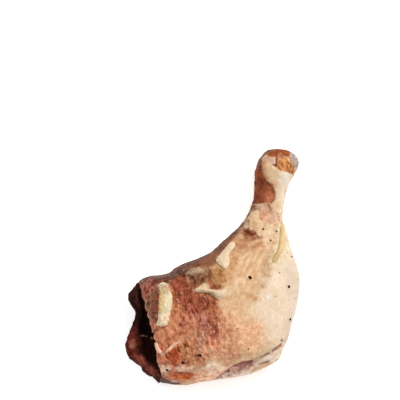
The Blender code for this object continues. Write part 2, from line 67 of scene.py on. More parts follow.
# Every tone that the leg is painted in, as red, green and blue.
TONES = {
    # Pale and greyish
    "milk": (0.86, 0.78, 0.60), "eggshell": (0.86, 0.62, 0.43), "blossom": (0.83, 0.52, 0.37),
    "butter": (0.77, 0.63, 0.44), "pearl": (0.66, 0.52, 0.42), "bone": (0.59, 0.47, 0.37),
    "chalk": (0.57, 0.53, 0.44), "primrose": (0.54, 0.54, 0.39), "tallow": (0.58, 0.51, 0.32),
    "lard": (0.58, 0.44, 0.29), "linen": (0.51, 0.41, 0.31), "pebble": (0.47, 0.37, 0.30),
    "oat": (0.42, 0.33, 0.25), "parchment": (0.50, 0.38, 0.25), "wax": (0.48, 0.37, 0.20),
    "pewter": (0.40, 0.33, 0.30),
    # Golden and pink
    "honey": (0.64, 0.46, 0.22), "sand": (0.59, 0.40, 0.25), "melon": (0.70, 0.44, 0.26),
    "rose": (0.65, 0.35, 0.21), "orchid": (0.72, 0.38, 0.31), "shrimp": (0.55, 0.30, 0.19),
    "dusk": (0.46, 0.31, 0.22), "hay": (0.47, 0.30, 0.15), "straw": (0.48, 0.27, 0.14),
    "fawn": (0.42, 0.28, 0.16), "biscuit": (0.40, 0.25, 0.13), "resin": (0.39, 0.25, 0.09),
    "clay": (0.46, 0.24, 0.13), "bronze": (0.45, 0.24, 0.10), "almond": (0.38, 0.19, 0.10),
    "toffee": (0.41, 0.23, 0.11), "putty": (0.27, 0.18, 0.10), "moth": (0.31, 0.19, 0.17),
    "damson": (0.45, 0.20, 0.17), "camel": (0.52, 0.33, 0.20), "acorn": (0.34, 0.18, 0.10),
    "coral": (0.74, 0.42, 0.30), "rouge": (0.66, 0.38, 0.27),
    # Browned
    "flame": (0.78, 0.28, 0.15), "copper": (0.63, 0.28, 0.14), "marmalade": (0.69, 0.21, 0.06),
    "brick": (0.55, 0.21, 0.12), "saffron": (0.53, 0.22, 0.07), "turmeric": (0.43, 0.20, 0.02),
    "terracotta": (0.41, 0.15, 0.06), "rosewood": (0.41, 0.16, 0.11), "paprika": (0.43, 0.10, 0.04),
    "madder": (0.38, 0.09, 0.06), "henna": (0.44, 0.21, 0.13), "sorrel": (0.38, 0.16, 0.095),
    "bark": (0.36, 0.16, 0.08), "cedar": (0.35, 0.13, 0.06), "nut": (0.32, 0.16, 0.07),
    "mink": (0.32, 0.16, 0.10), "chestnut": (0.28, 0.12, 0.06), "taupe": (0.28, 0.12, 0.08),
    "mahogany": (0.30, 0.08, 0.04), "cinnamon": (0.30, 0.08, 0.02), "syrup": (0.34, 0.05, 0.01),
    "cocoa": (0.25, 0.09, 0.04), "currant": (0.25, 0.06, 0.03), "garnet": (0.22, 0.06, 0.025),
    # Dark
    "molasses": (0.21, 0.06, 0.012), "ruby": (0.21, 0.03, 0.008), "walnut": (0.20, 0.075, 0.025),
    "thistle": (0.20, 0.085, 0.06), "husk": (0.20, 0.075, 0.035), "heather": (0.17, 0.055, 0.04),
    "sepia": (0.17, 0.04, 0.01), "claret": (0.17, 0.03, 0.025), "maroon": (0.16, 0.03, 0.018),
    "slate": (0.15, 0.10, 0.08), "liver": (0.15, 0.07, 0.045), "umber": (0.15, 0.053, 0.022),
    "oxblood": (0.14, 0.02, 0.007), "treacle": (0.11, 0.02, 0.007), "coffee": (0.12, 0.035, 0.012),
    "wine": (0.10, 0.025, 0.012), "smoke": (0.10, 0.05, 0.035), "scorch": (0.09, 0.01, 0.002),
    "shadow": (0.07, 0.023, 0.018), "aubergine": (0.07, 0.018, 0.018), "ebony": (0.06, 0.01, 0.003),
    "char": (0.04, 0.008, 0.004), "tar": (0.022, 0.01, 0.005), "cinder": (0.033, 0.021, 0.016),
    "pitch": (0.02, 0.005, 0.004), "night": (0.011, 0.005, 0.004),
}


def ring(middle, radius, corners=8):
    """The corners of a round outline."""
    turns = [2 * math.pi * corner / corners for corner in range(corners)]
    return tuple((middle[0] + radius * math.cos(t), middle[1] + radius * math.sin(t)) for t in turns)


# The middle of the pore in the skin, a seen place.
PORE = (38.7, -22.0)
# The light and dark tone of the skin where no patch lies on it, and of the meat.
PALE = ("lard", "biscuit")
FLESH = ("aubergine", "pitch")
# The same on the sides of the skin that the photo doesn't show.
SIDE = ("camel", "acorn")
# Patches of the skin in the order they are laid on. Each has the millimetres it fades over, how far its
# edge wanders, its kind of mottling, its light and dark tone, and its outlines in seen millimetres.
PATCHES = {
    "white": (24, 1, "broad", "bone", "parchment", (
        (39, 17), (47, 24), (57, 20), (63, 0), (64, -28), (61, -50), (54, -64), (45, -64), (39, -60),
        (28, -33))),
    "ivory": (9, 1, "broad", "linen", "oat", (
        (49, 24), (59, 20), (63, 0), (64, -28), (61, -46), (54, -60), (49, -59), (54, -28), (46, 17))),
    "belly": (5, 1.5, "smooth", "eggshell", "brick", (
        (-14, -76), (-3, -68), (16, -69), (23, -65), (33, -64), (29, -67), (15, -71), (2, -80),
        (-13, -83))),
    "apricot": (12, 1.5, "broad", "sand", "toffee", (
        (7, -24), (16, -17), (25, -14), (27, -23), (24, -33), (19, -38), (9, -36), (4, -30))),
    "speckled": (14, 2.5, "flecked", "melon", "clay", (
        (2, -33), (9, -31), (26, -38), (34, -45), (37, -54), (32, -61), (7, -69), (-2, -67), (-5, -58))),
    "rosy": (8, 2.5, "flecked", "rose", "cedar", (
        (5, -36), (12, -36), (18, -48), (16, -55), (21, -61), (16, -66), (7, -68), (0, -64), (-2, -56),
        (4, -50)), (
        (25, -42), (30, -42), (32, -48), (27, -50))),
    "rust": (9, 3, "craggy", "melon", "cedar", (
        (0, -25), (16, -42), (18, -50), (8, -61), (5, -53), (7, -45), (0, -32))),
    "smudge": (5, 1.5, "smooth", "straw", "nut", (
        (21, -19), (26, -18), (31, -20), (32, -24), (28, -26), (23, -25))),
    "calf": (10, 1.5, "streaky", "sand", "toffee", (
        (12, 17), (21, 20), (40, 17), (42, 10), (37, -11), (30, -18), (19, -18), (13, -11))),
    "crust": (11, 4.5, "craggy", "flame", "oxblood", (
        (-45, -17), (-19, -8), (-11, -19), (-2, -19), (4, -24), (2, -33), (8, -46), (6, -54), (0, -56),
        (-4, -68), (-12, -70), (-14, -80), (-23, -84), (-35, -84), (-48, -28))),
    "amber": (4, 1.5, "craggy", "copper", "molasses", (
        (-28, -17), (-21, -20), (-17, -25), (-20, -31), (-26, -34), (-29, -42), (-30, -38), (-28, -27))),
    "purple": (5, 2, "craggy", "mahogany", "maroon", (
        (-13, -31), (-5, -29), (4, -42), (6, -48), (0, -51), (-2, -45), (-7, -47), (-12, -37))),
    "ochre": (4, 1.8, "craggy", "copper", "sepia", (
        (-24, -54), (-14, -50), (-10, -54), (-9, -61), (-5, -68), (-6, -71), (-21, -69), (-23, -64))),
    "salmon": (5, 1.5, "smooth", "copper", "mahogany", (
        (-40, -45), (-35, -42), (-30, -36), (-23, -33), (-7, -38), (-6, -45), (-33, -56), (-38, -54))),
    "blush": (5, 1.5, "craggy", "brick", "oxblood", (
        (-25, -36), (-21, -34), (-14, -36), (-13, -41), (-16, -45), (-21, -45), (-24, -42))),
    "ember": (3.5, 1.2, "craggy", "mahogany", "treacle", (
        (-32, -12), (-27, -8), (-19, -6), (-16, -14), (-14, -22), (-17, -26), (-24, -28), (-28, -26),
        (-27, -20))),
    "deep": (6, 2.8, "craggy", "mahogany", "scorch", (
        (-18, -19), (-2, -21), (2, -24), (-1, -34), (-10, -36), (-20, -29), (-21, -24)), (
        (-7, -38), (3, -40), (4, -45), (-2, -50), (-7, -45))),
    "cut_edge": (3, 1, "smooth", "brick", "mahogany", (
        (-45, -40), (-40, -52), (-39, -60), (-38, -71), (-35, -70), (-36, -64), (-35, -55), (-38, -50),
        (-42, -45))),
    "mauve": (4, 2, "craggy", "coffee", "char", (
        (-52, -14), (-48, -9), (-27, -5), (-14, -1), (-16, -5), (-20, -9), (-27, -10), (-30, -14),
        (-37, -14), (-44, -19), (-48, -19))),
    "chip_side": (3, 1, "craggy", "husk", "umber", (
        (-18, -3), (-16, 2.5), (-9, 6), (-2.5, 10), (3, 14), (7.5, 18), (15, 24.5), (19.5, 24),
        (16.5, 18.5), (3, 4), (2.5, 1), (1, -0.5), (-5, -2), (-10.5, -2), (-14.5, -3), (-17.5, -4.5))),
    # dark_rim_and_shade: the band along the upper left edges is partly the skin's own darker sides and
    # partly painted shade where the surface turns from the lamp.
    "dark_rim_and_shade": (3, 0.8, "craggy", "liver", "shadow", (
        (-53, -4), (-44, -4), (-34.5, -1), (-27, 2.5), (-20.5, 6.5), (-10, 12), (-0.5, 15.5), (1, 9.5),
        (-2, 6), (-14.5, -1), (-19.5, -4.5), (-20.5, -7), (-48, -12), (-52, -13.5)), (
        (-2, 8), (4.5, 17), (13, 25.5), (22, 31), (23.5, 27.5), (10, 15.5), (3, 8))),
    "tan": (3, 1, "smooth", "almond", "shadow", (
        (-48, -19), (-43, -17), (-42, -22), (-42, -31), (-38, -40), (-42, -38), (-45, -34))),
    "corner": (3, 2, "craggy", "rosewood", "oxblood", (
        (-52, -14), (-48, -12), (-43, -11), (-42, -14), (-36, -13), (-38, -16), (-44, -19), (-46, -23),
        (-48, -22), (-49, -18))),
    "caramel": (2, 0.5, "smooth", "turmeric", "ruby", (
        (-43, -27.5), (-37.5, -26.5), (-37, -33.5), (-40.5, -34), (-43, -31.5))),
    "tawny": (6, 1, "smooth", "straw", "nut", (
        (8, 2), (13, 4), (17, 0), (16, -5), (11, -15), (8, -16), (7, -8))),
    "halo": (6, 1, "smooth", "straw", "chestnut", (
        (12, 15), (21, 23), (26, 13), (35, 18), (35, 13), (30, 9), (14, 10))),
    # tawny_streak_shade: the skin along the streak's left side, browner and darkened by painted shade.
    "tawny_streak_shade": (5, 1, "broad", "parchment", "nut", (
        (44, 30), (47, 23), (46, 14), (40, 0), (39, -11), (35, -17), (31, -12))),
    "toast": (9, 2.5, "craggy", "terracotta", "oxblood", (
        (-2, -24), (2, -24), (4, -40), (0, -42), (-2, -37))),
    "plum": (5, 2, "craggy", "rosewood", "oxblood", (
        (-13, -33), (-7, -33), (-2, -36), (1, -41), (-1, -45), (-5, -47), (-9, -45), (-12, -41))),
    "film_under": (2.5, 0.8, "craggy", "chestnut", "treacle", (
        (-19.5, -6), (-6.5, -7.5), (-5.5, -11.5), (-8, -15), (-13, -18.5), (-14.5, -18), (-17, -15.5),
        (-16, -11.5), (-19, -8))),
    "knob": (4, 1.2, "craggy", "bronze", "walnut", (
        (-2, -4), (2, 0), (7, -1), (9, -6), (9, -12), (5, -17), (1, -17), (-2, -14), (-4, -9))),
    "knob_shade": (2.5, 0.8, "smooth", "cedar", "scorch", (
        (-3.5, -7.5), (-2, -8), (-0.5, -11.5), (1.5, -14), (5, -14.5), (7, -16.5), (4.5, -18), (0.5, -18),
        (-2.5, -16.5), (-4, -11.5))),
    "film": (3, 0.8, "smooth", "cocoa", "ebony", (
        (-19, -6), (-16, -2), (-6, 0), (-1, -4), (-2, -9), (-5, -12), (-12, -11), (-16, -8))),
    "film_shade": (2, 0.5, "smooth", "walnut", "ebony", (
        (-9, -8), (-6, -8), (-4.5, -11.5), (-7.5, -14), (-9.5, -11.5))),
    "tail_shadow": (1.2, 0.3, "smooth", "umber", "coffee", (
        (-13, -18), (-1.8, -19.3), (0, -20.1), (1.7, -22.4), (4.9, -24.2), (4.2, -25.2), (0.3, -23.9),
        (-2.1, -21.4), (-7.4, -19.9), (-13, -18.9))),
    "fold": (3, 0.8, "broad", "sand", "fawn", (
        (17, -13), (17, -18), (10, -21), (6, -25), (-1, -20))),
    "chip_low": (4, 1, "smooth", "straw", "nut", (
        (13, 8), (16, 8), (18, 3), (16, -1), (12, -3), (12, 0))),
    "russet": (3.5, 3, "craggy", "paprika", "ruby", (
        (-30, -59), (-26, -57), (-24, -59), (-22, -64), (-25, -67), (-24, -70), (-27, -71), (-28, -67),
        (-31, -65))),
    "orange": (3, 1.2, "craggy", "marmalade", "syrup", (
        (-27, -74), (-14, -74), (-13, -77), (-16, -80), (-26, -80), (-28, -77))),
    "cream": (4, 1.6, "broad", "milk", "brick", (
        (-37, -70), (-30, -69), (-29, -72), (-31, -75), (-36, -75)), (
        (-26, -72), (-21, -70), (-14, -71), (-14, -74), (-24, -74)), (
        (-5, -68), (1, -67), (6, -70), (5, -74), (-2, -75), (-5, -73))),
    "orange_top": (1.8, 0.6, "craggy", "madder", "currant", (
        (-26.5, -74), (-23, -74.5), (-14, -74.5), (-14, -76.5), (-20.5, -76.5), (-26, -76))),
    # low_rim: a dark rim along the thigh's lower left edge.
    "low_rim": (2.2, 0.9, "craggy", "smoke", "cinder", (
        (-38.5, -77), (-30.5, -81), (-23, -82.5), (-23, -84.5), (-30, -85), (-37, -84), (-41.5, -80.5))),
    "wisp_faint": (2.5, 1.2, "smooth", "clay", "cocoa", (
        (-25.5, -53), (-12.5, -46.5), (-12, -48.5), (-24.5, -54.5))),
    "wisp": (1.4, 0.7, "smooth", "blossom", "clay", (
        (-35.4, -62.5), (-26.3, -53.7), (-22.8, -52.5), (-23.8, -54.2), (-34.3, -63))),
    "lilac_film": (4, 1.5, "craggy", "shrimp", "garnet", (
        (-10, -46), (-5, -44), (-2, -49), (-4, -55), (-6, -61), (-10, -61), (-11, -50))),
    "lilac": (2.5, 0.5, "broad", "orchid", "heather", (
        (3, -78.5), (14.5, -70), (21.5, -67.5), (29, -67), (33, -68.5), (26, -72), (12, -77), (6.5, -80))),
    "slit": (1.8, 0.3, "smooth", "taupe", "heather", (
        (15, -71), (21.5, -68), (28.5, -67), (27, -69.5), (19, -71.5))),
    "slit_film": (2, 0.4, "broad", "pearl", "bone", (
        (29, -69), (39, -63.5), (44.5, -63.5), (43, -66.5), (33, -71), (29.5, -71))),
    "underside": (3, 0.6, "broad", "milk", "damson", (
        (4, -81), (8, -77), (39, -68), (45, -64), (50, -65), (48, -72), (34, -79), (8, -86))),
    "under_tan": (2.5, 0.8, "streaky", "sand", "clay", (
        (29, -71), (43, -67), (46, -64.5), (46, -67), (40, -70.5), (32, -74), (26, -75.5))),
    # fold_line: the dark line where the skin folds under itself is painted shade in the crease.
    "fold_line": (0.9, 0.3, "smooth", "taupe", "heather", (
        (2.1, -79.1), (14.3, -69.8), (21.3, -67), (29, -65.9), (39.5, -61.7), (39.7, -62.6), (29, -66.9),
        (21.3, -68.1), (14.7, -71), (2.4, -79.8)), (
        (42, -60.2), (47.8, -55.7), (48.5, -52.2), (49.4, -52.5), (48.6, -56.5), (45.7, -59.3),
        (42.3, -61.2))),
    "under_line": (1.6, 0.4, "smooth", "cedar", "chestnut", (
        (31.5, -69), (39, -66.5), (39.5, -67.5), (32, -70))),
    "pore_rim": (0.8, 0.1, "smooth", "bone", "linen", ring(PORE, 2.45)),
    "pore": (0.8, 0.1, "smooth", "pearl", "pearl", ring(PORE, 1.25)),
    "rim_grey": (3, 0.5, "broad", "bone", "pebble", (
        (53, -28), (59, -28), (60, -42), (56, -56), (51, -68), (46, -70), (47, -64), (51, -56), (54, -47))),
    "pinkish": (4, 1, "streaky", "dusk", "mink", (
        (32, 42), (37, 43), (42, 41), (47, 37), (48, 29), (37, 28), (33, 35))),
    "peach": (3, 0.8, "smooth", "shrimp", "nut", (
        (32, 34), (34, 37), (37, 39), (39, 37), (39, 34), (36, 29), (34, 31))),
    "drum_side": (2.5, 0.5, "smooth", "fawn", "treacle", (
        (22, 27), (20.5, 34), (24, 42), (29.5, 42), (31.5, 41), (28, 34.5), (25, 27.5))),
    "patch_side": (3, 0.6, "broad", "moth", "umber", (
        (25, 34), (29.5, 38), (32.5, 38.5), (33, 34), (35.5, 27), (32.5, 20.5), (27, 25.5))),
    "hole_side": (3, 0.8, "smooth", "almond", "umber", (
        (20, 25.5), (32, 25.5), (35.5, 18.5), (22.5, 15.5))),
    # hole and hole_core: a dent at the fat patch's lower left, darkened by painted shadow.
    "hole": (3.5, 0.8, "smooth", "terracotta", "coffee", (
        (22, 24), (26, 25), (30, 22), (30, 20), (26, 19), (23, 20))),
    "hole_core": (2, 0.5, "smooth", "treacle", "char", (
        (21.5, 24), (24.5, 24.5), (30.5, 21.5), (27.5, 20), (24, 21))),
    "streak_side": (5, 1, "broad", "primrose", "biscuit", (
        (46, 28), (51, 28), (54, 20), (54, 11), (50, 3), (45, -1), (40, 0), (39, 4), (44, 11), (47, 20))),
    "window": (1.4, 0.3, "smooth", "garnet", "treacle", (
        (24.8, 42.2), (24.8, 59), (29, 70.9), (31.8, 74.4), (35.3, 72.6), (35.2, 67.4), (36.4, 62.5),
        (38.1, 58.3), (42.3, 55.5), (44.1, 49.2), (43.7, 45), (41.6, 42.5), (36.7, 43.2), (32.5, 42.2))),
    "window_top": (2, 0.4, "smooth", "cinnamon", "oxblood", (
        (29, 59), (29.5, 71), (33, 73.5), (35.5, 73), (35.5, 66), (36.5, 62.5), (34, 60.5))),
    # coat_shadow: the coat's shadow on the window, painted dark.
    "coat_shadow": (2.5, 0.5, "smooth", "currant", "scorch", (
        (28.5, 55.5), (29, 59), (36, 62.5), (39.5, 57.5), (36.5, 56), (32, 55))),
    "window_edge": (1.6, 0.3, "smooth", "terracotta", "garnet", (
        (33.5, 72.5), (35.5, 74), (37, 68.5), (37.5, 62.5), (36, 60), (34.5, 66))),
    "window_pink": (4, 1, "craggy", "cedar", "garnet", (
        (38, 56), (42, 54), (44, 48), (44, 43), (36, 43), (35, 48), (38, 52))),
    "coat": (1.2, 0.3, "broad", "parchment", "fawn", (
        (34.6, 73.7), (36.7, 75.1), (40.2, 75.1), (43.7, 73), (42.3, 70.2), (43.7, 66.7), (53.5, 63.9),
        (57, 62.5), (53.5, 56.9), (52.1, 53.4), (51.1, 47.8), (50, 36.6), (46.5, 35.2), (42.3, 38),
        (41.1, 42.2), (43.7, 45), (44.1, 49.2), (42.3, 55.5), (38.1, 58.3), (36, 62.5), (35, 68.1))),
    # coat_lit: the coat's right side painted paler, as painted light.
    "coat_lit": (4, 1, "broad", "chalk", "oat", (
        (48, 66), (56, 63), (51, 54), (49, 37), (47, 37), (48, 53), (46, 60))),
    "coat_rosy": (3, 0.8, "broad", "dusk", "mink", (
        (34, 74), (38, 76), (43, 75), (44, 70), (36, 72))),
    # coat_edge_shade: the coat's lower left edge painted darker, as painted shade.
    "coat_edge_shade": (3, 0.8, "smooth", "straw", "chestnut", (
        (35, 72), (38, 72), (38, 64), (41, 59), (45, 56), (44, 54), (37, 60), (35, 66))),
    "ginger": (2.2, 1, "craggy", "bronze", "sepia", (
        (44.5, 77), (47, 78.5), (53.5, 78), (56, 75.5), (58.5, 66), (57, 63), (54, 67), (53.5, 73.5),
        (49, 76), (46.5, 73.5), (44.5, 74))),
    "cap": (1.8, 0.6, "craggy", "cinnamon", "treacle", (
        (36.5, 76.5), (39, 81.5), (47, 83.5), (55, 82), (58.5, 79), (55, 76), (50.5, 75.5), (48, 76),
        (43.5, 75), (39, 75.5))),
    "wedge": (1.5, 0.6, "craggy", "saffron", "char", (
        (44.5, 73), (48, 74.5), (52, 74.5), (55, 70), (57.5, 64.5), (57.5, 62), (53.5, 64), (48, 65.5),
        (44.5, 68))),
    "bump": (1.6, 0.5, "smooth", "clay", "sepia", (
        (45.5, 77.5), (49, 77.5), (50.5, 75), (47, 73), (45.5, 70.5))),
    "crease": (0.9, 0.3, "smooth", "cocoa", "coffee", (
        (38.2, 42.4), (39.3, 42.4), (41.5, 37.8), (40.5, 37.1))),
    "crack": (0.9, 0.3, "smooth", "heather", "shadow", (
        (44.3, 76.3), (45.3, 76.3), (45.3, 68.6), (44.1, 68.2), (41.9, 69.3), (42, 70.3), (43.9, 70.3))),
    # knuckle_edge: the dark band along the knuckle's left outline is partly painted shade.
    "knuckle_edge": (1.2, 0.3, "smooth", "thistle", "smoke", (
        (24.3, 42.2), (24.7, 59), (28.9, 70.9), (30.6, 70.3), (32.2, 73.6), (36.9, 78.6), (42.9, 80.9),
        (44.1, 80), (38.7, 77.6), (33.8, 73), (32.4, 69), (30.1, 69.5), (26.1, 59), (25.7, 42.2))),
    "knuckle_grey": (1.5, 0.6, "streaky", "pewter", "slate", (
        (54.5, 78), (57.5, 79.5), (64, 73.5), (63.5, 69), (59, 63.5), (57.5, 66.5), (57, 70),
        (54.5, 74.5))),
}
# The same for the meat.
FLESH_PATCHES = {
    "upper": (3, 0.8, "craggy", "shadow", "pitch", (
        (-59, -22), (-57, -17), (-53, -13), (-49, -15), (-48, -24), (-51, -29), (-54, -31), (-57, -27))),
    # hollow_shadow: the hollow between skin and meat, painted near black as painted shadow.
    "hollow_shadow": (4, 0.6, "smooth", "night", "night", (
        (-53, -31), (-46, -30), (-45, -40), (-42, -50), (-45, -51), (-50, -51), (-52, -49))),
    # dim: the meat deeper in the hollow, its own dark maroon darkened further by painted shade.
    "dim": (3, 0.8, "smooth", "char", "night", (
        (-50, -51), (-42, -51), (-40, -56), (-37, -76), (-43, -68), (-48, -64), (-49, -60))),
    "lobe": (3, 0.8, "smooth", "claret", "char", (
        (-62, -50), (-58, -44), (-56, -43), (-52, -46), (-50, -56), (-52, -62), (-57, -66), (-62, -64))),
    # lobe_highlight: a painted highlight on the meat's lower lobe.
    "lobe_highlight": (3, 0.6, "smooth", "rosewood", "currant", (
        (-58, -54), (-55, -52), (-53, -56), (-55, -59), (-58, -58))),
    "rim": (3, 0.8, "craggy", "madder", "pitch", (
        (-56, -63), (-50, -63), (-38, -74), (-37, -78), (-43, -78), (-49, -73), (-54, -68))),
    "low_edge": (2, 0.5, "smooth", "shadow", "cinder", (
        (-49.5, -72.5), (-46, -76), (-31, -82.5), (-31, -88), (-41.5, -83), (-50, -78))),
    "high_edge": (2.5, 0.5, "smooth", "shadow", "pitch", (
        (-60, -21.5), (-59, -17.5), (-55.5, -13), (-50, -11.5), (-49.5, -14.5), (-53.5, -16.5),
        (-56.5, -18.5), (-57.5, -23))),
}
# The flakes of fat: light and dark tone, how ragged the flake is and how far it is pressed into the skin,
# both in millimetres, and its patches.
FLAKES = {
    "fat_slab": (
        "tallow", "parchment", 0.4, 0.35,
        {
            "ridge": (3, 0.6, "smooth", "honey", "resin", (
                (-38, -16), (-36, -15), (-34, -18), (-34, -24), (-35, -33), (-37, -33))),
            "olive": (2, 0.5, "smooth", "turmeric", "molasses", (
                (-43.5, -16.5), (-39.5, -15), (-37.5, -16.5), (-37.5, -24.5), (-39.5, -26.5), (-42.5, -25),
                (-44, -21.5))),
            # shaded_flank: the slab's left flank, its own tan brown darkened by painted shade.
            "shaded_flank": (1.5, 0.4, "smooth", "cinnamon", "char", (
                (-45.5, -14), (-39.5, -14), (-37, -16), (-37.5, -30), (-38, -35.5), (-40, -38.5),
                (-44.5, -38.5))),
            # shaded_crown: the slab's top, painted darker as painted shade.
            "shaded_crown": (4, 0.5, "smooth", "wax", "putty", (
                (-37, -14), (-32, -13), (-29, -17), (-32, -20), (-37, -19))),
            # lit_foot: the slab's bottom, painted paler as painted light.
            "lit_foot": (4, 0.5, "smooth", "butter", "sand", (
                (-39, -37), (-36, -34), (-30, -34), (-32, -43), (-39, -43))),
            # dark_lower_left: the slab's lower left, painted dark brown.
            "dark_lower_left": (2, 0.5, "smooth", "cinnamon", "oxblood", (
                (-44, -25.5), (-39.5, -27), (-38, -31.5), (-39.5, -34), (-43, -32.5), (-44, -28.5))),
        },
    ),
    "fat_chip": ("lard", "parchment", 0.3, 0.7, {}),
    "fat_tail": (
        "lard", "fawn", 0.3, 1.05,
        {
            "flap": (2, 0.5, "smooth", "lard", "parchment", (
                (1, -18.5), (8, -17.5), (10, -18), (8.5, -21.5), (5, -24.5), (1.5, -22))),
            "tip": (1.5, 0.4, "smooth", "pearl", "parchment", (
                (-13.5, -18), (-11, -16.5), (-9, -17.5), (-9, -19), (-12.5, -19))),
        },
    ),
    "fat_film": (
        "nut", "coffee", 0.4, 0.6,
        {
            "gleam": (2, 0.5, "smooth", "fawn", "putty", (
                (-16.5, -3.5), (-13, -2), (-6.5, -2.5), (-6, -4.5), (-16, -5.5))),
            "pale": (2, 0.5, "smooth", "dusk", "umber", (
                (-19.5, -6.5), (-16, -2.5), (-13, -3.5), (-13.5, -7.5), (-16.5, -7.5))),
            "shade": (2, 0.5, "smooth", "nut", "umber", (
                (-12.5, -8.5), (-9, -7.5), (-5.5, -8), (-4.5, -11.5), (-7.5, -13.5), (-11, -11.5))),
        },
    ),
    "fat_streak": (
        "wax", "resin", 0.2, 0.8,
        {
            "low": (3, 0.6, "smooth", "hay", "resin", (
                (42, 3), (45, 11), (48, 14), (49, 10), (45, 3), (42, 0))),
        },
    ),
    "fat_patch": (
        "sand", "biscuit", 0.4, 0.6,
        {
            "pleat": (1.5, 0.6, "smooth", "hay", "toffee", (
                (28.5, 31), (30.5, 31.5), (31, 25.5), (29.5, 24), (27.5, 27))),
        },
    ),
}
# The thigh's skin folds under itself along this outline.
OVERLAP = (
    ((3.2, -79), (15.7, -69.9), (20.4, -67.6), (28.5, -65.6), (36.1, -62.4), (40.2, -59.4), (47.8, -54.8),
     (51.9, -50.1), (50.7, -54.2), (46, -59.4), (41.4, -63.5), (25, -69.9), (12.8, -77.5)),
)
# How far some patches stand out, in millimetres, and the millimetres that they rise over.
RISES = (
    ("coat", 0.7, 1.0), ("cream", 0.3, 1.2), ("slit", -0.9, 1.2), ("wisp", 0.35, 1.0), ("wedge", 0.3, 1.2),
    ("crack", -0.5, 0.9), ("hole", -0.5, 2.0), ("window", -0.25, 1.5), ("film_shade", -0.3, 1.5),
    ("knob_shade", -0.4, 2.0), ("lilac_film", 0.2, 1.0), ("pore_rim", 0.3, 1.2), ("pore", -0.45, 1.2),
    ("tail_shadow", -0.4, 1.2), ("fold_line", -0.5, 1.0), ("under_line", -0.3, 1.0),
)
# The skin's relief: the patches of the crust, of its deepest zones and of calm skin, and their fades.
RELIEF_AREAS = (
    (("crust", "deep", "ember", "orange", "corner", "mauve", "knob"), 5),
    (("deep", "ember", "russet", "orange"), 3),
    (("window", "coat", "salmon", "lilac", "cream"), 3),
)
# Its heights in millimetres, and what the crust and its deepest zones add to them.
GRAINY, GRAINY_CRUST, GRAINY_DEEP = 0.05, 0.20, 0.14
STROKES, STROKES_CRUST = 0.02, 0.22
SWELLS, SWELLS_CRUST = 0.16, 0.2
WRINKLES, SMALL_WRINKLES = 0.12, 0.05
TUCK_DEPTH = 1.0
# The patches with the finest faces.
FINEST = ("crust", "cap", "wedge", "crack")
# Stretch noise along the wrinkles and along the fibres of the meat.
LONG_WRINKLES, LONG_FIBRES = np.array((1.0, 0.35, 1.0)), np.array((0.35, 1.0, 1.0))
# Stretches noise along the way that the lumps of the crust lean.
LEAN = np.eye(3) - 0.55 * np.outer((0.35, -0.94, 0.0), (0.35, -0.94, 0.0))
# Stretches noise along the drumstick.
ALONG_LEG = np.eye(3) - 0.68 * np.outer((0.45, 0.89, 0.0), (0.45, 0.89, 0.0))
# Places of the meat, the skin and the flakes that are drawn out or in: seen place, reach and move.
MEAT_NUDGES = (
    ((-51.8, -15.6), 4.2, (1.6, 3.6, 0.8)), ((-55.0, -34.8), 4.0, (1.0, 0.0, 0.0)),
    ((-53.6, -69.1), 4.0, (0.8, 0.8, 0.0)),
)
SKIN_NUDGES = (
    ((59.8, 74.4), 5.0, (0.7, 0.4, 0.0)), ((35.0, -73.0), 8.0, (0.0, 1.3, 0.0)),
    ((50.7, -57.7), 5.0, (-0.9, 0.2, 0.0)), ((46.0, -66.0), 3.5, (0.5, -0.5, 0.0)),
)
FLAKE_NUDGES = (((-42.5, -26.0), 5.0, (0.0, 0.0, -0.9)), ((10.4, -19.0), 3.0, (0.0, 0.0, -0.7)))
# The grains of cracked pepper: seen place and radius.
GRAINS = (
    (25.9, -9, 1.3), (53.2, -15.5, 1.2), (54.1, -38.1, 1), (-8.8, -62.8, 1.2), (-20.7, -67.9, 1.2),
    (-31.7, -73.1, 1.2), (11.1, -74, 1), (40.5, 16.9, 0.8), (46.5, 33.1, 0.7), (35.4, 24.6, 0.8),
    (44.7, 23.2, 0.8), (47.7, -52.3, 0.8), (34.9, -15.1, 0.6), (55.2, 5.4, 0.8), (57.8, -23.5, 0.7),
    (16.6, 0.8, 0.7), (-30.3, -60.4, 0.6), (43.5, -21.9, 0.63), (17, -44.2, 0.63), (20.5, 6.3, 0.52),
    (-6.1, -52.3, 0.7), (24.8, -58.2, 0.75), (46.6, -5.5, 0.65), (-18, -60.6, 0.63),
    (-25.6, -45.1, 0.56), (11.6, -6.3, 0.62),
)
# A grain with a smaller radius than this is a small one, and looks brown.
SMALL_GRAIN = 0.76
# How large a grain looks for its radius in the solid: a small one, and another.
GRAIN_SIZES = (0.75, 0.95)
# Seen places of the finest specks.
SPECKS = ((46.4, 33.2), (46.8, 31.1), (47.2, 29.0), (48.6, 28.9), (43.6, 27.8), (59.6, -10.2))
SPECK_RADIUS, SPECK_LENGTH = 0.42, 1.2
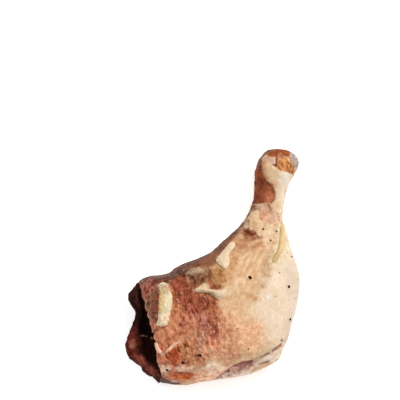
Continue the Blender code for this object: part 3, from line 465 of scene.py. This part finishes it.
# Bits of fat standing out on the crust, painted pale as highlights: seen place, length, width and turn in
# degrees.
BITS = (
    (-22.2, -19.5, 2, 1, 20), (-24.2, -24, 2.2, 0.9, 0), (-23.4, -25.6, 1.4, 0.8, 90),
    (-23.8, -40.8, 3.2, 0.7, 75), (-27.2, -39, 1.6, 0.6, 40), (-16.7, -27.4, 1.2, 0.6, 30),
    (-10, -37.9, 1.6, 0.7, 60), (-6.5, -40.8, 1.8, 0.7, 50), (-1.2, -43.4, 1.8, 0.8, 60),
    (1.1, -46.3, 2.4, 1, 55), (-1.8, -47.2, 1.4, 0.6, 60), (5.3, -41.4, 3.2, 0.8, 65),
    (7.1, -42.6, 2.2, 0.8, 60), (9.3, -45.2, 1.8, 0.7, 50), (4.6, -50.1, 3.4, 1.5, 75),
    (8.7, -51.9, 2, 1, 70), (11.2, -54.9, 1.8, 1, 20), (14.1, -48.9, 2.2, 0.8, 60),
    (-5, -50.7, 1.8, 0.7, 80), (-13.5, -57.4, 1.8, 0.8, 60), (-10.5, -60.6, 2, 1, 70),
    (-14, -65.4, 1.6, 1, 40), (-10, -67.6, 2, 1.2, 60), (-8.7, -70.8, 2.2, 1.2, 80),
    (-5.4, -69.4, 2, 1.2, 50), (-16.5, -58.9, 1.2, 0.6, 30), (-38, -57.6, 4.8, 2.6, -65),
    (2.3, -35.5, 1.4, 0.6, 60), (8.7, -58, 1.4, 0.7, 30), (0.5, -53, 1.6, 0.7, 60),
    (-3, -54.8, 1.4, 0.6, 60), (-48.9, -49.8, 2.6, 0.9, 10), (-46.4, -50.2, 1.6, 0.8, 0),
    (-42.2, -51.6, 2.2, 0.9, -60),
)
# A bit wider than this is a large one, and is painted paler as a highlight.
LARGE_BIT = 2
# How far a bit of fat bulges for its width.
BIT_BULGE = 0.75
# Small bits strewn over the crust, some painted pale as glints: how many, the corners of their area, and
# their least and greatest radius and length.
STREWN_BITS = 110
STREWN_AREA = ((-40, -78), (22, -12))
STREWN_RADIUS, STREWN_LENGTH = (0.25, 0.5), (1, 2.4)
# How flat every lump is for its width.
LUMP_HEIGHT = 0.8

# Widths of the even faces of the skin, the meat and the flakes, in millimetres.
SKIN_GRID, MEAT_GRID, FLAKE_GRID = 1.28, 0.8, 0.45
# The share of the faces that go where nothing fine shows.
THINNED = 0.88
# The way that the cut faces on the floor plan, and the width that its edge is looked for in.
CUT_OUT = np.array((-0.976, -0.219))
CUT_SLOT = 2.0
# The edge is ragged this near to it, in millimetres: wholly, and not at all.
TORN_BAND = (0.5, 3.5)
# The heights between which a side of the skin stops being low.
LOW_SIDES = (6, 26)
# How far from the skin a flake of fat is looked for.
FLAKE_REACH = 2.5
# A point of a flake belongs to its underside if it is this near to the skin and faces it by this share. It
# then goes this far into the skin.
UNDERSIDE_NEAR, UNDERSIDE_FACING, UNDERSIDE_DEPTH = 1.2, 0.3, 0.25
# A ray of this many millimetres tells whether a point of the skin faces open air.
OPEN_AIR = 60
# How far from the leg a look at it starts.
LOOK_FROM = 200
# These set the noises of different seeds apart, and those of different lumps.
SEED_STEP, LUMP_SEED_STEP = 17.3, 31.7


# --- Meshes as arrays of points


def points_of(mesh):
    """The vertices of a mesh, one a row."""
    found = np.empty(len(mesh.vertices) * 3)
    mesh.vertices.foreach_get("co", found)
    return found.reshape(-1, 3) * 1000


def set_points(mesh, points):
    """Moves the vertices of a mesh to these points."""
    mesh.vertices.foreach_set("co", (points / 1000).astype(np.float32).ravel())
    mesh.update()


def normals_of(mesh):
    """The way that the surface faces at each vertex."""
    found = np.empty(len(mesh.vertices) * 3, np.float32)
    mesh.vertex_normals.foreach_get("vector", found)
    return found.reshape(-1, 3).astype(float)


def smoothed(mesh, points, rounds):
    """The points with the small bumps taken out and the size kept."""
    ends = np.empty(len(mesh.edges) * 2, np.int32)
    mesh.edges.foreach_get("vertices", ends)
    here, there = np.concatenate([ends.reshape(-1, 2), ends.reshape(-1, 2)[:, ::-1]]).T
    near = np.maximum(np.bincount(here, minlength=len(points)), 1)
    for share in (0.5, -0.52) * rounds:
        middles = [np.bincount(here, points[there, k], len(points)) / near for k in range(3)]
        points = points + share * (np.stack(middles, axis=1) - points)
    return points


def search_tree(objects):
    """A search tree over these meshes, in millimetres."""
    corners, faces = [], []
    for piece in objects:
        start = len(corners)
        corners += points_of(piece.data).tolist()
        faces += [[start + i for i in face.vertices] for face in piece.data.polygons]
    return BVHTree.FromPolygons(corners, faces)


def even_copy(node, name, grid):
    """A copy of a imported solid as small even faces, grid mm wide, rounded off."""
    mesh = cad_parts[node].data.copy()
    mesh.materials.clear()
    welded = bmesh.new()
    welded.from_mesh(mesh)
    bmesh.ops.remove_doubles(welded, verts=welded.verts, dist=2e-6)
    welded.to_mesh(mesh)
    welded.free()
    piece = bpy.data.objects.new(name, mesh)
    bpy.context.scene.collection.objects.link(piece)
    even = piece.modifiers.new("even", "REMESH")
    even.mode = "VOXEL"
    even.voxel_size = grid / 1000
    bpy.context.view_layer.update()
    graph = bpy.context.evaluated_depsgraph_get()
    piece.data = bpy.data.meshes.new_from_object(piece.evaluated_get(graph))
    piece.modifiers.clear()
    return piece


def refine(piece, chosen):
    """Cuts the chosen faces into four."""
    worked = bmesh.new()
    worked.from_mesh(piece.data)
    worked.faces.ensure_lookup_table()
    edges = {edge for index in np.flatnonzero(chosen) for edge in worked.faces[index].edges}
    bmesh.ops.subdivide_edges(worked, edges=list(edges), cuts=1, use_grid_fill=True)
    worked.to_mesh(piece.data)
    worked.free()


def thin_out(piece, weights):
    """Joins small faces into larger ones where the weights are near 1, as nothing fine shows there."""
    group = piece.vertex_groups.new(name="plain")
    for index in np.flatnonzero(weights > 0.5).tolist():
        group.add([index], 1.0, "REPLACE")
    fewer = piece.modifiers.new("fewer", "DECIMATE")
    fewer.vertex_group = group.name
    fewer.ratio = 1 - THINNED * (weights > 0.5).mean()
    bpy.context.view_layer.update()
    graph = bpy.context.evaluated_depsgraph_get()
    piece.data = bpy.data.meshes.new_from_object(piece.evaluated_get(graph))
    piece.modifiers.clear()
    piece.vertex_groups.clear()


def faces_with(piece, marked):
    """True for each face whose corners are all marked."""
    return np.array([marked[list(face.vertices)].all() for face in piece.data.polygons])


# --- Noise and outlines


def ripple(points, size, seed):
    """Smooth noise from about -1 to 1 with bumps about size mm wide."""
    return np.array([noise.noise(p) for p in (points / size + SEED_STEP * seed).tolist()])


def pebbles(points, size, seed):
    """1 in the middle of a grain and about -0.6 between grains size mm apart."""
    spread = (points / size + SEED_STEP * seed).tolist()
    return 1 - 2 * np.array([noise.voronoi(p)[0][0] for p in spread])


def seen_places(points):
    """Each point's place across and up the plane that the camera faces."""
    up = points[:, 1] * math.sin(ELEVATION) + (points[:, 2] - MIDDLE[2]) * math.cos(ELEVATION)
    return np.stack([points[:, 0], up], axis=1)


def depth_inside(places, outlines):
    """Millimetres from the nearest outline, above zero inside one."""
    deepest = np.full(len(places), -np.inf)
    for outline in outlines:
        corners = np.array(outline, float)
        nearest = np.full(len(places), np.inf)
        inside = np.zeros(len(places), bool)
        for start, end in zip(corners, np.roll(corners, -1, axis=0)):
            along = end - start
            offset = places - start
            share = np.clip(offset @ along / (along @ along), 0, 1)
            nearest = np.minimum(nearest, np.linalg.norm(offset - share[:, None] * along, axis=1))
            crosses = (start[1] > places[:, 1]) != (end[1] > places[:, 1])
            rise = along[1] if along[1] else 1e-9
            inside ^= crosses & (offset[:, 0] < offset[:, 1] * along[0] / rise)
        deepest = np.maximum(deepest, np.where(inside, nearest, -nearest))
    return deepest


def gentle(values, low, high):
    """0 below low and 1 above high, with a soft change between."""
    share = np.clip((values - low) / (high - low), 0, 1)
    return share * share * (3 - 2 * share)


def wandering(points):
    """Millimetres that the edge of a patch wanders at each point."""
    return 1.3 * ripple(points, 5.5, 41) + 0.7 * ripple(points, 2.0, 42)


def cover(points, names, fade, edge):
    """How far each point lies in the named patches of skin, from 0 to 1, changing over fade mm."""
    outlines = [outline for name in names for outline in PATCHES[name][5:]]
    return gentle(depth_inside(seen_places(points), outlines) + edge, -fade / 2, fade / 2)


# --- Colours


def tone(name):
    """A tone's red, green and blue."""
    return np.array(TONES[name])


def mixed(light, dark, share):
    """A colour a point: the light tone where the share is 0, the dark one where it is 1."""
    return tone(light) + share[:, None] * (tone(dark) - tone(light))


def mottles(points, creases):
    """How dark each kind of mottling is at each point. Creases are near 1 between two bumps."""
    middling, small = ripple(points, 3.2, 51), ripple(points, 1.3, 53)
    strokes = ripple(points @ LEAN, 1.25, 55) + 0.6 * ripple(points @ LEAN, 0.65, 56)
    streaks = ripple(points @ LEAN, 2.8, 57)
    kinds = {
        "broad": 0.5 + 0.35 * ripple(points, 8.0, 52) + 0.4 * middling + 0.45 * small,
        "smooth": 0.5 + 0.7 * middling + 0.35 * small + 0.3 * (creases - 0.5),
        "streaky": 0.5 + 0.6 * ripple(points @ ALONG_LEG, 1.9, 54) + 0.4 * middling + 0.3 * small,
        "craggy": 0.5 + 0.55 * strokes + 0.45 * (creases - 0.5) + 0.45 * streaks + 0.35 * middling,
        "flecked": 0.5 + 0.6 * small + 0.5 * middling + 0.3 * strokes,
    }
    return {kind: np.clip(share, 0, 1) for kind, share in kinds.items()}


def colours_of(points, creases, base, patches):
    """The two base tones with the patches laid over them in turn."""
    places, edge, kinds = seen_places(points), wandering(points), mottles(points, creases)
    colour = mixed(*base, kinds["broad"])
    for fade, wander, kind, light, dark, *outlines in patches.values():
        share = gentle(depth_inside(places, outlines) + wander * edge, -fade / 2, fade / 2)
        colour += share[:, None] * (mixed(light, dark, kinds[kind]) - colour)
    return colour


def paint(piece, name, values):
    """Keeps a number or a colour a vertex for the material to read."""
    if values.ndim == 1:
        layer = piece.data.attributes.new(name, "FLOAT", "POINT")
        layer.data.foreach_set("value", values.astype(np.float32))
    else:
        layer = piece.data.attributes.new(name, "FLOAT_COLOR", "POINT")
        rows = np.column_stack([np.clip(values, 0.0005, 1), np.ones(len(values))])
        layer.data.foreach_set("color", rows.astype(np.float32).ravel())


def painted(piece, name):
    """The numbers that paint kept."""
    found = np.empty(len(piece.data.vertices), np.float32)
    piece.data.attributes[name].data.foreach_get("value", found)
    return found


class Look:
    """A material made of nodes."""

    def __init__(self, name, roughness, shine=0.3, soft=0.0):
        self.material = bpy.data.materials.new(name)
        self.material.use_nodes = True
        self.tree = self.material.node_tree
        self.shader = self.tree.nodes["Principled BSDF"]
        self.place = self.tree.nodes.new("ShaderNodeTexCoord").outputs["Object"]
        self.set("Roughness", roughness)
        self.set("Specular IOR Level", shine)
        self.set("Subsurface Weight", soft)
        self.set("Subsurface Radius", SOFT_REACH)
        self.set("Subsurface Scale", SOFT_SCALE)

    def set(self, name, value):
        self.shader.inputs[name].default_value = value

    def node(self, kind, inputs, output=0, **settings):
        """Adds a node, sets it, feeds its inputs and gives back one of its outputs."""
        made = self.tree.nodes.new(kind)
        for name, value in settings.items():
            setattr(made, name, value)
        for key, value in inputs.items():
            if isinstance(value, bpy.types.NodeSocket):
                self.tree.links.new(value, made.inputs[key])
            else:
                made.inputs[key].default_value = value
        return made.outputs[output]

    def noise(self, size, detail=2.0):
        """Noise from 0 to 1 with bumps about size mm wide."""
        inputs = {"Vector": self.place, "Scale": 1000 / size, "Detail": detail}
        return self.node("ShaderNodeTexNoise", inputs)

    def scaled(self, value, low, high):
        """A value from 0 to 1 stretched to run from low to high."""
        return self.node("ShaderNodeMapRange", {"Value": value, "To Min": low, "To Max": high})

    def tint(self, uneven):
        """Feeds the painted colour to the shader, a little deeper here and paler there."""
        colour = self.node("ShaderNodeAttribute", {}, "Color", attribute_name="tint")
        deepened = self.scaled(self.noise(0.9), 1 - uneven, 1 + uneven)
        self.feed("Base Color", self.node("ShaderNodeGamma", {"Color": colour, "Gamma": deepened}))

    def bump(self, size, height):
        """Adds bumps about size mm wide and height mm high to the shading."""
        inputs = {"Height": self.noise(size), "Distance": height / 1000, "Strength": 1.0}
        self.feed("Normal", self.node("ShaderNodeBump", inputs))

    def feed(self, name, value):
        self.tree.links.new(value, self.shader.inputs[name])


def skin_look():
    look = Look("skin", roughness=0.5, shine=0.04, soft=0.1)
    look.tint(uneven=0.22)
    wet = look.node("ShaderNodeAttribute", {}, "Fac", attribute_name="wet")
    look.feed("Roughness", look.scaled(wet, 0.6, 0.3))
    look.bump(0.7, 0.14)
    return look.material


def flesh_look():
    look = Look("flesh", roughness=0.5, shine=0.0)
    look.tint(uneven=0.25)
    look.bump(0.8, 0.15)
    return look.material


def fat_look():
    look = Look("fat", roughness=0.4, shine=0.2, soft=0.2)
    look.tint(uneven=0.15)
    look.bump(0.8, 0.12)
    return look.material


def bits_look():
    look = Look("bits", roughness=0.6, shine=0.05)
    look.tint(uneven=0.2)
    return look.material


def pepper_look():
    look = Look("pepper", roughness=0.8, shine=0.04)
    look.tint(uneven=0.3)
    return look.material


# --- Pieces


def skin_relief(points, outer, under):
    """How far each point of the skin moves out, how deep in a crease it lies, and how crusty it is."""
    edge = wandering(points)
    crust, deep, calm = (cover(points, names, fade, edge) for names, fade in RELIEF_AREAS)
    leaning = points @ LEAN
    grainy = pebbles(leaning, 1.9, 3) + 0.6 * pebbles(leaning, 1.0, 4)
    height = (GRAINY + GRAINY_CRUST * crust + GRAINY_DEEP * deep) * (1 - 0.5 * calm) * grainy
    height -= (STROKES + STROKES_CRUST * crust * (1 - 0.5 * calm)) * ripple(leaning, 1.25, 55)
    height += (SWELLS + SWELLS_CRUST * crust) * ripple(points, 5.0, 5)
    height += WRINKLES * (1 - crust) * (1 - calm) * ripple(points * LONG_WRINKLES, 1.9, 6)
    height += SMALL_WRINKLES * (1 - crust) * ripple(points, 1.3, 53)
    for name, rise, fade in RISES:
        height += rise * cover(points, (name,), fade, 0)
    tuck = depth_inside(seen_places(points), OVERLAP)
    height -= TUCK_DEPTH * gentle(tuck, -0.2, 0.5) * (1 - gentle(tuck, 1.5, 4.0))
    height += cover(points, ("pinkish", "patch_side"), 4, 0) * (0.5 * np.abs(ripple(points, 4.0, 8)) - 0.2)
    creases = np.clip(0.5 - 0.42 * grainy, 0, 1)
    return height * outer * (1 - 0.9 * under), creases, crust


def torn(points):
    """The points with the skin's edge at the cut turned ragged."""
    out = points[:, :2] @ CUT_OUT
    along = points[:, :2] @ np.array((-CUT_OUT[1], CUT_OUT[0]))
    slot = np.round(along / CUT_SLOT).astype(int)
    slot -= slot.min()
    edge = np.full(slot.max() + 1, -np.inf)
    np.maximum.at(edge, slot, out)
    near = 1 - gentle(edge[slot] - out, *TORN_BAND)
    tear = 1.3 * ripple(points, 5.0, 14) + 0.6 * ripple(points, 1.9, 15)
    points[:, :2] += (near * tear)[:, None] * CUT_OUT
    return points


def nudged(points, nudges):
    """The points drawn a little way round some seen places."""
    for place, reach, move in nudges:
        away = np.linalg.norm(seen_places(points) - place, axis=1) / reach
        points = points + np.exp(-(away**2))[:, None] * np.array(move)
    return points


def seen_sides(points, normals):
    """1 where the photo could show the skin, falling to 0 on the far sides and low down."""
    facing = normals @ TOWARDS_CAMERA + 0.12 * ripple(points, 9.0, 61) + 0.06 * ripple(points, 2.5, 62)
    low = 1 - gentle(points[:, 2], *LOW_SIDES)
    return gentle(facing - 0.25 * low, -0.32, 0.0)


def outer_points(points, normals):
    """1 for each point of the skin with open air above it, 0 where it faces the meat or the hollow."""
    solids = search_tree([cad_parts[name] for name in ("skin", "meat")])
    blocked = [
        solids.ray_cast(start, way, OPEN_AIR)[0] is not None
        for start, way in zip((points + 0.4 * normals).tolist(), normals.tolist())
    ]
    return 1.0 - np.array(blocked, float)


def under_flakes(points):
    """1 for each point of the skin right under a flake of fat, falling to 0 beside it."""
    flakes = search_tree([node for name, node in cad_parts.items() if name.startswith("fat")])
    gaps = [flakes.find_nearest(point, FLAKE_REACH)[3] or FLAKE_REACH for point in points.tolist()]
    return 1 - gentle(np.array(gaps), 0.6, 2.0)


def skin_grid():
    """The skin as a grid, coarse underneath and finest on the crust and the knuckle, and its points."""
    piece = even_copy("skin", "skin-look", SKIN_GRID)
    points = smoothed(piece.data, points_of(piece.data), 4)
    set_points(piece.data, points)
    outer = outer_points(points, normals_of(piece.data))
    paint(piece, "outer", outer)
    set_points(piece.data, nudged(points, SKIN_NUDGES))
    facing_down = gentle(-normals_of(piece.data)[:, 2], 0.3, 0.6)
    thin_out(piece, np.maximum(1 - outer, facing_down))
    points, normals = points_of(piece.data), normals_of(piece.data)
    on_top = (normals[:, 2] > 0) & (points[:, 2] > 6)
    refine(piece, faces_with(piece, on_top & (painted(piece, "outer") > 0.5)))
    points = smoothed(piece.data, points_of(piece.data), 2)
    fine = (cover(points, FINEST, 4, 0) > 0.5) & (normals_of(piece.data)[:, 2] > 0.25)
    set_points(piece.data, points)
    refine(piece, faces_with(piece, fine))
    points = smoothed(piece.data, points_of(piece.data), 2)
    set_points(piece.data, points)
    return piece, points


def make_skin():
    """The skin with its relief, its ragged edge at the cut, and its colours."""
    piece, points = skin_grid()
    normals, outer = normals_of(piece.data), painted(piece, "outer")
    height, creases, crust = skin_relief(points, outer, under_flakes(points))
    moved = points + height[:, None] * normals
    moved[:, 2] = np.maximum(moved[:, 2], np.minimum(points[:, 2], 0.0))
    set_points(piece.data, torn(moved))
    colour = colours_of(points, creases, PALE, PATCHES)
    away = 1 - seen_sides(points, normals)
    colour += away[:, None] * (mixed(*SIDE, mottles(points, creases)["broad"]) - colour)
    # The skin's inner side, facing the meat and the hollow, is painted dark wine as painted shade.
    colour += (1 - outer)[:, None] * (tone("wine") - colour)
    paint(piece, "tint", colour)
    paint(piece, "wet", crust)
    piece.data.materials.append(skin_look())
    show(piece, "skin")
    return piece


def make_meat():
    """The meat with its fibres and lumps at the cut."""
    piece = even_copy("meat", "meat-look", MEAT_GRID)
    points = smoothed(piece.data, points_of(piece.data), 8)
    points = nudged(points, MEAT_NUDGES)
    set_points(piece.data, points)
    normals = normals_of(piece.data)
    fibres = ripple(points * LONG_FIBRES, 1.8, 11)
    lumps = pebbles(points, 2.6, 12)
    open_end = gentle(-points[:, 0], 34, 42)
    height = open_end * (0.25 * fibres + 0.2 * lumps + 0.5 * ripple(points, 4.0, 13))
    set_points(piece.data, points + height[:, None] * normals)
    creases = np.clip(0.5 - 0.5 * lumps, 0, 1)
    paint(piece, "tint", colours_of(points, creases, FLESH, FLESH_PATCHES))
    piece.data.materials.append(flesh_look())
    show(piece, "meat")
    return piece


def make_flake(node, skin, look):
    """A flake of fat with its underside down on the skin. The thin ones get painted shade on the walls
    turned from the camera.
    """
    light, dark, ragged, sunk, patches = FLAKES[node]
    piece = even_copy(node, node + "-look", FLAKE_GRID)
    points = nudged(smoothed(piece.data, points_of(piece.data), 4), FLAKE_NUDGES)
    set_points(piece.data, points)
    normals = normals_of(piece.data)
    uneven = ripple(points, 1.6, 21) + 0.8 * ripple(points, 0.8, 22)
    moved = points + (ragged * uneven)[:, None] * normals
    for index, point in enumerate(moved.tolist()):
        near, up, _, gap = skin.find_nearest(point)
        apart = moved[index] - np.array(near)
        if gap < UNDERSIDE_NEAR and normals[index] @ apart < -UNDERSIDE_FACING * gap:
            moved[index] = np.array(near) - UNDERSIDE_DEPTH * apart / max(gap, 0.01)
        else:
            moved[index] -= sunk * np.array(up)
    set_points(piece.data, moved)
    colour = colours_of(points, np.clip(0.5 - uneven, 0, 1), (light, dark), patches)
    # All flakes but the slab: walls turned from the camera are painted bark brown, as painted shade.
    if node != "fat_slab":
        shaded_walls = 0.7 * (1 - gentle(normals @ TOWARDS_CAMERA, 0.0, 0.4))
        colour += shaded_walls[:, None] * (tone("bark") - colour)
    paint(piece, "tint", colour)
    piece.data.materials.append(look)
    show(piece, node)


def lump(radius, uneven, seed):
    """The corners and faces of an uneven ball."""
    ball = bmesh.new()
    bmesh.ops.create_icosphere(ball, subdivisions=2, radius=1.0)
    corners = np.array([vertex.co for vertex in ball.verts], float)
    faces = [[vertex.index for vertex in face.verts] for face in ball.faces]
    ball.free()
    size = radius * (1 + uneven * ripple(corners, 0.9, seed))
    return corners * size[:, None], faces


def strew(name, look, surface, rows, uneven, sunk):
    """One piece with an uneven lump a row: its place, radius, length for its width, turn and colour."""
    corners, faces, colours = [], [], []
    for index, (place, radius, length, turn, colour) in enumerate(rows):
        ball, ball_faces = lump(radius, uneven, LUMP_SEED_STEP * index)
        near, normal, _, _ = surface.find_nearest(list(place))
        up = np.array(normal)
        across = np.cross(up, (-math.sin(turn), math.cos(turn), 0.0))
        across /= np.linalg.norm(across)
        axes = np.stack([across * length, np.cross(up, across), up * LUMP_HEIGHT])
        start = len(corners)
        corners += (ball @ axes + np.array(near) - up * sunk * radius).tolist()
        faces += [[start + i for i in face] for face in ball_faces]
        colours += [colour] * len(ball)
    mesh = bpy.data.meshes.new(name)
    mesh.from_pydata((np.array(corners) / 1000).tolist(), [], faces)
    mesh.materials.append(look)
    piece = bpy.data.objects.new(name, mesh)
    paint(piece, "tint", np.array(colours))
    bpy.context.scene.collection.objects.link(piece)
    show(piece)


def show(piece, node=None):
    """Smooths the piece's shading, and ties it to the frame."""
    piece.data.polygons.foreach_set("use_smooth", [True] * len(piece.data.polygons))
    piece.data.update()
    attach(piece, "root")
    if node:
        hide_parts(node)


def on_surface(surface, place):
    """The point of the surface at a seen place."""
    start = np.array((place[0], place[1] / math.sin(ELEVATION), MIDDLE[2])) + LOOK_FROM * TOWARDS_CAMERA
    return surface.ray_cast(start.tolist(), (-TOWARDS_CAMERA).tolist())[0]


def make_pepper(surface):
    """The grains of pepper, and the finer specks."""
    rows = []
    for *place, radius in GRAINS:
        small = radius < SMALL_GRAIN
        turn, length = RANDOM.uniform(0, math.pi), RANDOM.uniform(1, 1.3)
        size = radius * GRAIN_SIZES[0 if small else 1]
        rows.append((on_surface(surface, place), size, length, turn, tone("husk" if small else "tar")))
    for place in SPECKS:
        turn = RANDOM.uniform(0, math.pi)
        rows.append((on_surface(surface, place), SPECK_RADIUS, SPECK_LENGTH, turn, tone("husk")))
    strew("pepper", pepper_look(), surface, rows, uneven=0.45, sunk=0.25)


def make_bits(surface):
    """Bits of fat over the crust, painted pale as highlights: the ones that stand out, and small ones
    strewn among them.
    """
    rows = []
    for across, up, length, width, turn in BITS:
        colour = tone("coral" if width > LARGE_BIT else "henna")
        point = on_surface(surface, (across, up))
        rows.append((point, BIT_BULGE * width, length / width, math.radians(turn), colour))
    while len(rows) < len(BITS) + STREWN_BITS:
        point = on_surface(surface, RANDOM.uniform(*STREWN_AREA))
        if point is not None and RANDOM.uniform() < cover(np.array([point]), ("crust",), 12, 0)[0]:
            radius, length = RANDOM.uniform(*STREWN_RADIUS), RANDOM.uniform(*STREWN_LENGTH)
            # The strewn bits range from sorrel brown to rouge, a painted glint.
            colour = mixed("sorrel", "rouge", RANDOM.uniform(0, 1, 1) ** 2)[0]
            rows.append((point, radius, length, RANDOM.uniform(0, math.pi), colour))
    strew("fat-bits-and-glints", bits_look(), surface, rows, uneven=0.7, sunk=0.35)


# --- Camera, light and floor


def aim(thing, place, target):
    """Puts a camera or a lamp at a place, facing a target."""
    way = np.array(target, float) - np.array(place, float)
    thing.location = (np.array(place, float) / 1000).tolist()
    thing.rotation_euler = Vector(way.tolist()).to_track_quat("-Z", "Y").to_euler()


def make_camera():
    camera = bpy.data.objects.new("camera", bpy.data.cameras.new("camera"))
    camera.data.lens = LENS
    camera.data.sensor_width = SENSOR
    bpy.context.scene.collection.objects.link(camera)
    away = PICTURE_WIDTH * LENS / SENSOR
    aim(camera, MIDDLE + away * TOWARDS_CAMERA, MIDDLE)
    bpy.context.scene.camera = camera


def make_lamp():
    lamp = bpy.data.objects.new("lamp", bpy.data.lights.new("lamp", "AREA"))
    lamp.data.shape = "DISK"
    lamp.data.size = LAMP_WIDTH / 1000
    lamp.data.energy = LAMP_WATTS
    bpy.context.scene.collection.objects.link(lamp)
    aim(lamp, LAMP_PLACE, (0, 0, 20))


def make_sky():
    world = bpy.data.worlds.new("studio")
    world.use_nodes = True
    nodes, links = world.node_tree.nodes, world.node_tree.links
    way = nodes.new("ShaderNodeSeparateXYZ")
    links.new(nodes.new("ShaderNodeTexCoord").outputs["Generated"], way.inputs[0])
    strength = nodes.new("ShaderNodeMapRange")
    strength.inputs["To Min"].default_value, strength.inputs["To Max"].default_value = SKY
    links.new(way.outputs["Z"], strength.inputs["Value"])
    links.new(strength.outputs["Result"], nodes["Background"].inputs["Strength"])
    nodes["Background"].inputs["Color"].default_value = WHITE
    bpy.context.scene.world = world


def make_floor():
    mesh = bpy.data.meshes.new("floor")
    mesh.from_pydata([(-3, -3, 0), (3, -3, 0), (3, 3, 0), (-3, 3, 0)], [], [(0, 1, 2, 3)])
    look = Look("floor", roughness=0.9)
    look.set("Base Color", (*FLOOR_COLOUR, 1.0))
    look.set("Emission Color", WHITE)
    look.set("Emission Strength", FLOOR_SHINE)
    mesh.materials.append(look.material)
    floor = bpy.data.objects.new("floor", mesh)
    bpy.context.scene.collection.objects.link(floor)


skin = make_skin()
meat = make_meat()
skin_surface = search_tree([skin])
fat = fat_look()
for node in FLAKES:
    make_flake(node, skin_surface, fat)
make_pepper(skin_surface)
make_bits(search_tree([skin, meat]))
make_camera()
make_lamp()
make_sky()
make_floor()
bpy.context.scene.view_settings.view_transform = "Standard"
